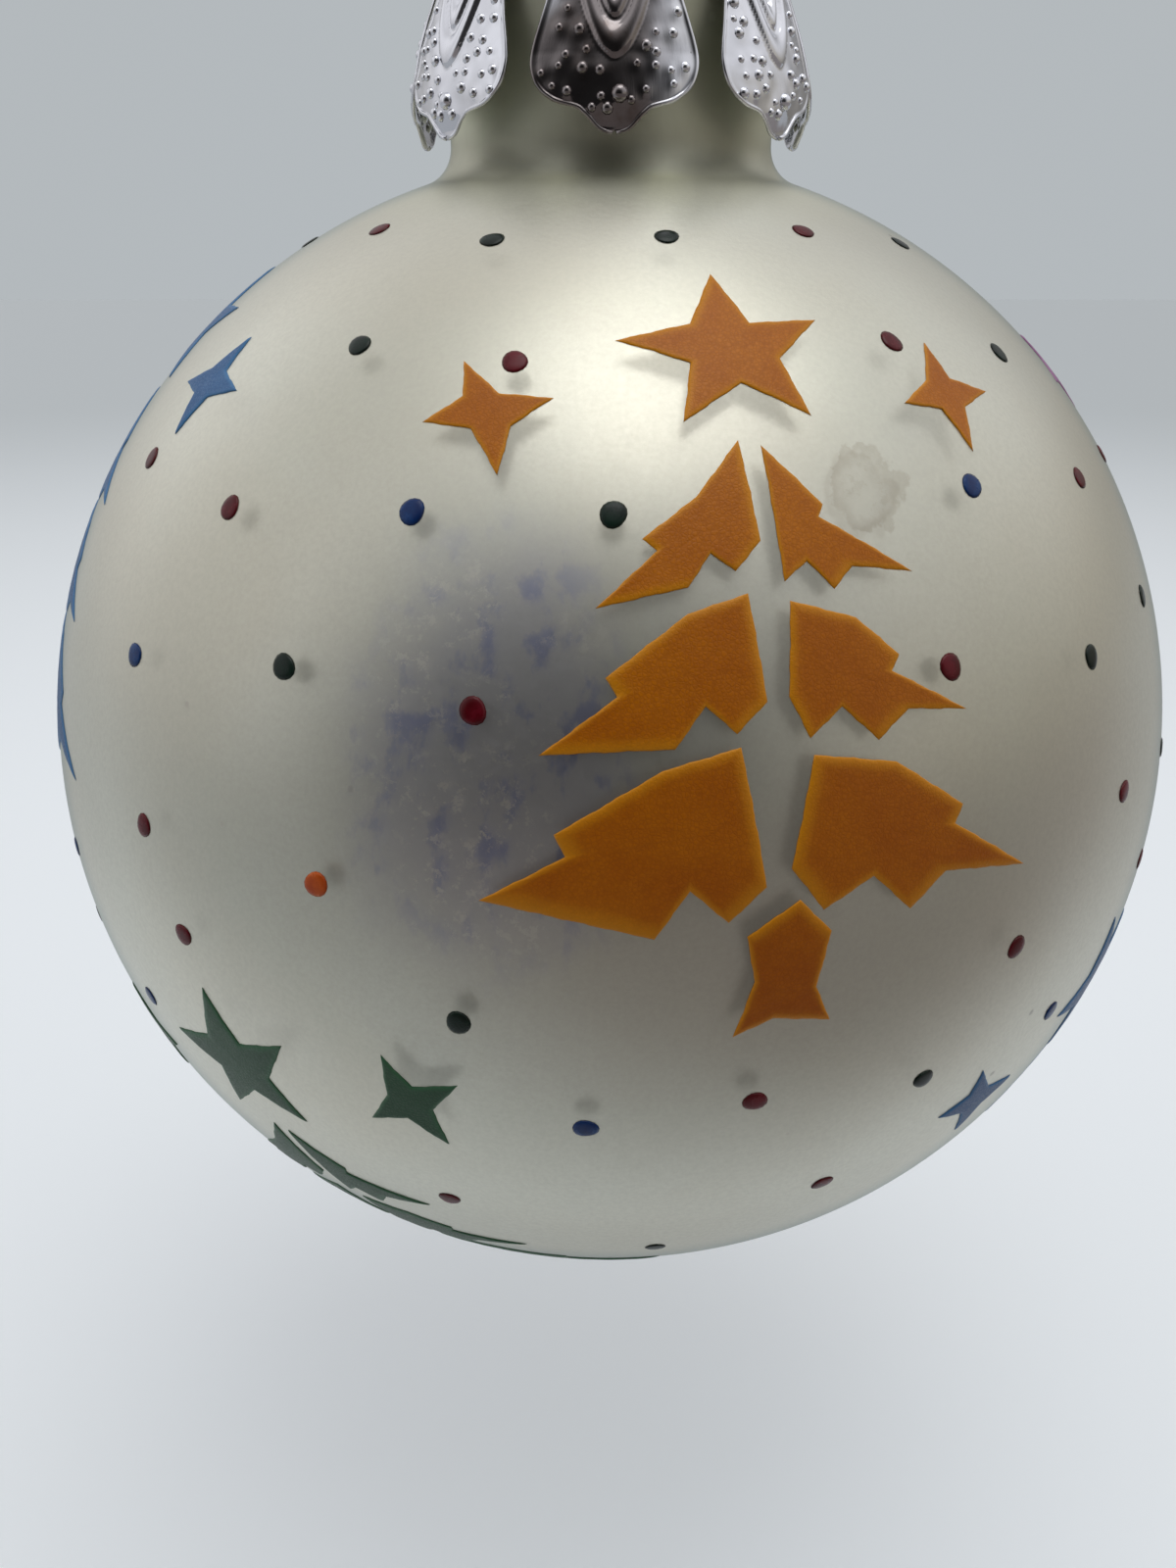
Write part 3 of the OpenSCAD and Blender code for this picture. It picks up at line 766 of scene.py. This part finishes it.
# Latitudes, longitudes and colour letters of the dots that are clear of the trees.
def dotLayout():
    latitudes, longitudes, letters = [], [], []
    for r, (latitude, count, first, colours) in enumerate(dots["rows"]):
        k = np.arange(count)
        latitudes.append(latitude + dots["stray"] * np.sin(np.radians(137 * k + 50 * r)))
        longitudes.append(first + k * 360 / count + dots["stray"] * np.cos(np.radians(95 * k + 70 * r)))
        letters.append(np.array(list(colours))[k % len(colours)])
    latitudes, longitudes, letters = map(np.concatenate, (latitudes, longitudes, letters))
    spots = outward(latitudes, longitudes)
    keep = np.ones(len(spots), bool)
    for _, latitude, longitude, lean in trees:
        across, up, out = drawingAxes(latitude, longitude, lean)
        flat = np.stack([spots @ across, spots @ up], axis=-1) * ballRadius
        behind = spots @ out < 0
        for outline in shards:
            clear = clearOfShard(flat, np.array(outline, float) * mm, dots["radius"] + dots["margin"])
            keep &= behind | clear
    return latitudes[keep], longitudes[keep], letters[keep]


# One dot: three rings under a low dome with a slightly uneven outline.
def dotSkin(latitude, longitude, phase):
    axes = drawingAxes(latitude, longitude, 0.0)
    angle = np.linspace(0, 2 * np.pi, 16, endpoint=False)
    uneven = 1 + 0.05 * np.sin(2 * angle + phase) + 0.03 * np.sin(3 * angle + 2.1 * phase)
    rim = dots["radius"] * 1.03 * uneven[:, None] * np.stack([np.cos(angle), np.sin(angle)], axis=-1)
    base = ballRadius + printing["gap"]
    spread = np.array([0.45, 0.8, 1.0])
    height = np.array([0.95, 0.7, 0.1]) * dots["thick"]
    top = laidOnBall(spread[:, None, None] * rim, (base + height)[:, None] + 0 * angle, axes)
    under = laidOnBall(0.8 * rim[None], np.full((1, 16), base), axes)
    return poledSkin(laidOnBall(np.zeros(2), np.array(base + dots["thick"]), axes), np.concatenate([top, under]),
                     laidOnBall(np.zeros(2), np.array(base), axes))


dotTints = {
    "red": ((0.07, 0.0006, 0.003, 1), (0.13, 0.003, 0.01, 1)),
    "blue": ((0.001, 0.018, 0.1, 1), (0.003, 0.05, 0.19, 1)),
    "green": ((0.001, 0.007, 0.004, 1), (0.005, 0.02, 0.012, 1)),
    "orange": ((0.42, 0.06, 0.006, 1), (0.62, 0.12, 0.01, 1)),
}


# Drop of enamel: dark body, paler thin places and a wet gloss.
def dotMaterial(colourName):
    material, tree, shader, place = newMaterial(colourName + "Drop")
    clouds = grain(tree, place, 700.0, 0.35, 0.7)
    fill(tree, shader, {"Base Color": mixColour(tree, clouds, *dotTints[colourName]),
                        "Roughness": levels(tree, clouds, 0.2, 0.32), "Specular IOR Level": 0.25})
    addBump(tree, shader, clouds, 0.2, 0.03 * mm)
    return material


dotLatitudes, dotLongitudes, dotLetters = dotLayout()
for colourName in dotTints:
    mine = np.flatnonzero(dotLetters == colourName[0])
    skins = [dotSkin(dotLatitudes[n], dotLongitudes[n], 0.7 * n) for n in mine]
    makePiece(colourName + "Dots", skins, "ball", [colourName + "_dots"],
              [dotMaterial(colourName)])
print("dots printed:", len(dotLetters))


cap = {
    "sheet": 0.26 * mm,
    "play": 0.25 * mm,
    "bandHeight": 1.9 * mm,      # below the underside of the top
    "petals": 7,
    "width": 12.1 * mm,
    "flare": 2.3 * mm,
    "seat": 0.03 * mm,           # underside of the top above the rim
    "bright": (0.74, 0.75, 0.80, 1),
    "dull": (0.54, 0.53, 0.52, 1),
    "pitted": (0.25, 0.24, 0.22, 1),
    # painted shade on the cap's top face, dimming the lamp's glare
    "top": (0.5, 0.5, 0.52, 1),
    "paintedFrontReflection": (0.10, 0.065, 0.05, 1),   # painted dark reflection on the front petal
}
# outline of a petal: share of its half width at each depth below the band, in millimetres
petalDepth = np.array([-0.4, 0.8, 2, 3, 4.3, 5.3, 6.4, 7.3, 8, 8.6, 9, 9.2, 9.7, 10.2, 10.6, 10.85, 11.0])
petalShare = np.array([0.66, 0.7, 0.76, 0.82, 0.9, 0.96, 1, 0.98, 0.92, 0.8, 0.65, 0.5, 0.35, 0.26, 0.19, 0.12, 0.02])
# how far the sheet has flared out at each depth, as a share of the whole flare
flareDepth = np.array([-3.0, 0, 1.4, 4.1, 7.0, 9.0, 11.5])
flareShare = np.array([0.0, 0.0, 0.22, 0.62, 0.93, 1.0, 0.97])
capTop = rimHeight + cap["seat"]
bandFoot = capTop - cap["bandHeight"]
bandOuter = glass["neckRadius"] + cap["play"] + 0.3 * mm


# Smooth curve through a table: a cubic between entries, with its slopes taken from their neighbours.
def eased(x, table, values):
    i = np.clip(np.searchsorted(table, x) - 1, 0, len(table) - 2)
    t = np.clip((x - table[i]) / (table[i + 1] - table[i]), 0, 1)
    slope = np.gradient(values, table)
    span = table[i + 1] - table[i]
    return ((2 * t ** 3 - 3 * t ** 2 + 1) * values[i] + (t ** 3 - 2 * t ** 2 + t) * span * slope[i]
            + (-2 * t ** 3 + 3 * t ** 2) * values[i + 1] + (t ** 3 - t ** 2) * span * slope[i + 1])


# Height of a raised line: full in the middle and rounded off at half its width.
def ridge(distance, width):
    return np.sqrt(np.clip(1 - (distance / (width / 2)) ** 2, 0, 1))


# Distance in millimetres from a drop's outline: scaled radius about its middle, narrower towards the foot.
def dropDistance(x, depth, top, bottom, width):
    middle, half = (top + bottom) / 2, (bottom - top) / 2
    along = (depth - middle) / half
    narrow = np.clip(0.95 - 0.2 * along, 0.5, 1.1)
    reach = np.sqrt((x / (width / 2 * narrow)) ** 2 + along ** 2)
    return (reach - 1) * np.minimum(width / 2, half) * 0.9


# Raised pattern of a petal: two nested drops, a crease in the inner one, a rolled edge and a faint dish.
def petalRelief(x, depth, share):
    outer = ridge(dropDistance(x, depth, -3.4, 5.3, 4.5), 1.0) * 0.36
    inner = ridge(dropDistance(x, depth, -2.4, 3.0, 2.2), 0.6) * 0.3
    crease = -0.14 * np.exp(-(x / 0.15) ** 2) * np.clip((3.0 - depth) / 1.0, 0, 1)
    rolled = 0.16 * np.clip((share - 0.93) / 0.07, 0, 1) ** 2
    dish = 0.12 * np.sin(np.clip((depth - 6) / 4.6, 0, 1) * np.pi)
    return outer + inner + crease + rolled + dish


# A petal is a sheet over (across, down): x is the outline's half width times across, and the radius follows
# the flare plus the relief.
def petalSheet(turn, phase, beads):
    down = np.concatenate([np.linspace(-0.4, 8.4, 56), np.linspace(8.5, 9.5, 12), np.linspace(9.58, 11.0, 12)])
    across = np.linspace(-1, 1, 65)
    s, d = np.meshgrid(across, down)
    half = cap["width"] / mm / 2 * eased(d, petalDepth, petalShare)
    x = s * half
    bow = 0.1 * np.sin(phase + d * 0.5) * s
    flareOut = eased(d, flareDepth, flareShare) * cap["flare"] / mm
    plain = bandOuter / mm + flareOut
    skirts = sum(0.22 * size * np.exp(-((x - a) ** 2 + (d - b) ** 2) / (1.5 * size) ** 2) for a, b, size in beads)
    radius = plain + petalRelief(x, d, np.abs(s)) * np.clip((d + 0.2) / 0.8, 0, 1) + bow * 0.3 + skirts
    angle = turn + x / plain
    r, z = radius * mm, bandFoot - d * mm
    return np.stack([r * np.sin(angle), -r * np.cos(angle), z], axis=-1) + ballCentre


# Front and back of a sheet joined round its edge: the back is the front moved inwards by the thickness.
def thickSheet(front, thick):
    rows, columns = front.shape[:2]
    du = np.gradient(front, axis=1)
    dv = np.gradient(front, axis=0)
    normal = np.cross(dv, du)
    normal /= np.linalg.norm(normal, axis=-1, keepdims=True)
    radial = front - ballCentre
    radial[..., 2] = 0
    normal *= np.sign((normal * radial).sum(-1, keepdims=True))
    back = front - normal * thick
    points = np.concatenate([front.reshape(-1, 3), back.reshape(-1, 3)])
    i, j = np.meshgrid(np.arange(rows - 1), np.arange(columns - 1), indexing="ij")
    a = (i * columns + j).ravel()
    face = np.stack([a, a + 1, a + 1 + columns, a + columns], axis=-1)
    total = rows * columns
    loop = np.concatenate([np.arange(columns), np.arange(1, rows) * columns + columns - 1,
                           (rows - 1) * columns + np.arange(columns - 2, -1, -1), np.arange(rows - 2, 0, -1) * columns])
    ahead = np.roll(loop, -1)
    wall = np.stack([loop, loop + total, ahead + total, ahead], axis=-1)
    quads = np.concatenate([face, face[:, ::-1] + total, wall])
    return points, quads, np.zeros((0, 3), int)


# Where the beads of a petal stand, as rows of across, down and size: a jittered lattice kept clear of the
# drops and the edge.
def beadPlaces(random):
    places = [(0.35, 8.65, 0.64), (-0.5, 9.55, 0.46), (-0.95, 8.8, 0.34)]
    for n, depth in enumerate(np.arange(2.4, 10.4, 1.15)):
        for x in (np.arange(-5, 6) + 0.5 * (n % 2)) * 1.3:
            px, pd = x + random.uniform(-0.33, 0.33), depth + random.uniform(-0.33, 0.33)
            size = random.choice([0.3, 0.34, 0.38, 0.44])
            half = cap["width"] / mm / 2 * float(eased(np.array(pd), petalDepth, petalShare))
            offDrop = float(dropDistance(px, pd, -3.4, 5.5, 4.8))
            crowded = any(math.hypot(px - a, pd - b) < 0.85 * (size + c) for a, b, c in places)
            if abs(px) > half - 0.55 or offDrop < 0.8 or crowded or random.random() < 0.08:
                continue
            places.append((px, pd, size))
    return places


# One bead: a low ball sunk half into the sheet.
def beadSkin(turn, phase, x, depth, size):
    half = cap["width"] / mm / 2 * float(eased(np.array(depth), petalDepth, petalShare))
    flareOut = float(eased(np.array(depth), flareDepth, flareShare)) * cap["flare"] / mm
    plain = bandOuter / mm + flareOut
    radius = (plain + float(petalRelief(np.array(x), np.array(depth), np.array(abs(x) / half)))
              + 0.03 * math.sin(phase + depth * 0.5) * x / half + 0.15 * size) * mm
    angle = turn + x / plain
    out = np.array([math.sin(angle), -math.cos(angle), 0.0])
    side = np.array([math.cos(angle), math.sin(angle), 0.0])
    up = np.array([0.0, 0.0, 1.0])
    centre = ballCentre + out * (radius - 0.05 * mm) + up * (bandFoot - depth * mm)
    a = np.linspace(0, 2 * np.pi, 10, endpoint=False)
    lift = np.radians([62, 35, 8, -30])
    r = size * mm
    rings = (centre + r * np.cos(lift)[:, None, None] * (np.cos(a)[:, None] * side + np.sin(a)[:, None] * up)
             + r * 0.85 * np.sin(lift)[:, None, None] * out)
    return poledSkin(centre + out * r * 0.85, rings, centre - out * r * 0.85)


# Top and band: a shallow dished disc, a rounded shoulder, the band, and a small roll at its foot, with a wall inside.
def bandSkin():
    t = cap["sheet"]
    outer = bandOuter
    top = capTop + 0.3 * mm
    bend = 0.5 * mm
    face = np.array([[2.0, 0.05], [4.0, 0.05], [6.0, 0.04], [8.6, 0.02], [9.3, 0.16], [9.9, 0.24],
                     [10.5, 0.16], [11.2, 0.02], [12.3, 0.0]]) * mm
    face[:, 1] += top - 0.05 * mm
    shoulder = arc((outer - bend, top - 0.05 * mm - bend), bend, 90, 0, 8)
    side = np.array([[outer, capTop - 0.4 * mm], [outer + 0.1 * mm, capTop - 0.6 * mm],
                     [outer + 0.1 * mm, capTop - 0.9 * mm], [outer, capTop - 1.1 * mm],
                     [outer, bandFoot + 0.3 * mm], [outer + 0.02 * mm, bandFoot - 0.05 * mm]])
    foot = np.array([[outer - t, bandFoot - 0.05 * mm]])
    inner = np.array([[outer - t, capTop - 0.4 * mm], [outer - t - 0.2 * mm, capTop], [10 * mm, capTop],
                      [2 * mm, capTop]])
    profile = np.concatenate([face, shoulder, side, foot, inner])
    rings = spun(profile, 168) + ballCentre
    return poledSkin(ballCentre + [0, 0, top], rings, ballCentre + [0, 0, capTop])


# Stamped tinplate: bright metal with drawn scratches, a soft tarnish in the hollows and tiny pits, a painted dark
# reflection on the front petal and painted shade on the top face.
def tinMaterial():
    material, tree, shader, place = newMaterial("stampedTin")
    tarnish = grain(tree, place, 260.0, 0.45, 0.8)
    fine = grain(tree, place, 2500.0, 0.3, 0.7)
    pits = specks(tree, place, 1500.0, 0.2, 0.06)
    long = addNode(tree, "ShaderNodeMapping", None, Vector=place, Scale=(1.0, 1.0, 0.06)).outputs[0]
    drawn = grain(tree, long, 2200.0, 0.45, 0.6)
    colour = mixColour(tree, times(tree, tarnish, 0.5), cap["bright"], cap["dull"])
    colour = mixColour(tree, times(tree, pits, 0.7), colour, cap["pitted"])
    # painted reflection: the front petal is darkened to brown-black where it would mirror the dark side of the room
    paintedFrontReflection = times(tree, remap(tree, coordinate(tree, place, 1), -13.9 * mm, -14.5 * mm),
                  remap(tree, coordinate(tree, place, 0), 4.6 * mm, 1.5 * mm),
                  remap(tree, tarnish, 0.0, 1.0, 0.76, 0.93))
    colour = mixColour(tree, paintedFrontReflection, colour, cap["paintedFrontReflection"])
    # painted shade: the top face is darkened, and also roughened, to dim the lamp's glare on it
    face = remap(tree, coordinate(tree, place, 2), capTop + 0.05 * mm, capTop + 0.2 * mm)
    colour = mixColour(tree, times(tree, face, 0.8), colour, cap["top"])
    rough = plus(tree, levels(tree, fine, 0.06, 0.11), times(tree, tarnish, 0.08))
    rough = plus(tree, rough, times(tree, face, 0.14))
    fill(tree, shader, {"Base Color": colour, "Metallic": 1.0, "Roughness": rough})
    addBump(tree, shader, plus(tree, drawn, times(tree, pits, -2.0)), 0.08, 0.02 * mm)
    return material


random = np.random.default_rng(7)
capSkins = [bandSkin()]
for k in range(cap["petals"]):
    turn, phase = 2 * math.pi * k / cap["petals"], 1.3 * k
    beads = beadPlaces(random)
    capSkins.append(thickSheet(petalSheet(turn, phase, beads), cap["sheet"]))
    capSkins += [beadSkin(turn, phase, *bead) for bead in beads]
makePiece("crownCap", capSkins, "cap", ["crown_cap"], [tinMaterial()])
print("cap stamped")


wireLow, wireHigh = (np.array(corner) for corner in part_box("wire_hanger"))
wire = {
    "radius": 0.5 * mm,
    "legX": 4.1 * mm,
    "bend": 4 * mm,
    "bow": 10 * mm,
    "tuck": 50.0,
    "sides": 18,
    "bright": (0.74, 0.74, 0.76, 1),
    "dull": (0.46, 0.44, 0.42, 1),
}


# Centre line in the XZ plane as rows of x, z and the angle of the outward side: half a circle, a straight
# leg, a bend and a long bow.
def wirePath():
    r, legX, bend, bow = wire["radius"], wire["legX"], wire["bend"], wire["bow"]
    bowX = wireHigh[0] - r
    swing = math.degrees(math.acos(1 - (bowX - legX) / (bend + bow)))
    bendZ = glassHigh[2] - 0.5 * mm
    bowZ = bendZ - (bend + bow) * math.sin(math.radians(swing))
    a = np.linspace(90, 0, 28)
    loop = np.stack([legX * np.cos(np.radians(a)), r - legX + legX * np.sin(np.radians(a)), a], axis=-1)
    z = np.linspace(r - legX, bendZ, 12)[1:-1]
    leg = np.stack([np.full(10, legX), z, 0 * z], axis=-1)
    a = np.linspace(0, swing, 14)
    first = np.stack([legX + bend * (1 - np.cos(np.radians(a))), bendZ - bend * np.sin(np.radians(a)), a], axis=-1)
    a = np.linspace(swing, -wire["tuck"], 34)[1:]
    second = np.stack([bowX - bow * (1 - np.cos(np.radians(a))), bowZ + bow * np.sin(np.radians(a)), a], axis=-1)
    half = np.concatenate([loop, leg, first, second])
    other = half[:0:-1] * [-1, 1, 1]
    other[:, 2] = 180 - other[:, 2]
    return np.concatenate([other, half])


# Round wire along the centre line, with its cut ends slightly rounded off.
def wireSkin():
    path = wirePath()
    a = np.linspace(0, 2 * np.pi, wire["sides"], endpoint=False)
    side = np.radians(path[:, 2])[:, None]
    r = wire["radius"]
    rings = np.stack([path[:, :1] + r * np.cos(a) * np.cos(side), r * np.sin(a) + 0 * side,
                      path[:, 1:2] + r * np.cos(a) * np.sin(side)], axis=-1)
    ends = []
    for end, near in ((0, 1), (-1, -2)):
        middle = np.array([path[end, 0], 0, path[end, 1]])
        away = middle - np.array([path[near, 0], 0, path[near, 1]])
        away /= np.linalg.norm(away)
        small = middle + (rings[end] - middle) * 0.8 + away * 0.12 * mm
        ends.append((small, middle + away * 0.14 * mm))
    rings = np.concatenate([[ends[0][0]], rings, [ends[1][0]]])
    return poledSkin(ends[0][1], rings, ends[1][1])


# Drawn wire: fine rings of brightness round it and a few dull spots.
def wireMaterial():
    material, tree, shader, place = newMaterial("drawnWire")
    dull = grain(tree, place, 420.0, 0.45, 0.75)
    fine = grain(tree, place, 4000.0, 0.3, 0.7, roughness=0.7)
    colour = mixColour(tree, times(tree, dull, 0.6), wire["bright"], wire["dull"])
    fill(tree, shader, {"Base Color": colour, "Metallic": 1.0, "Roughness": levels(tree, fine, 0.18, 0.3)})
    addBump(tree, shader, fine, 0.1, 0.01 * mm)
    return material


makePiece("wireHanger", [wireSkin()], "hanger", ["wire_hanger"], [wireMaterial()])
print("wire bent")
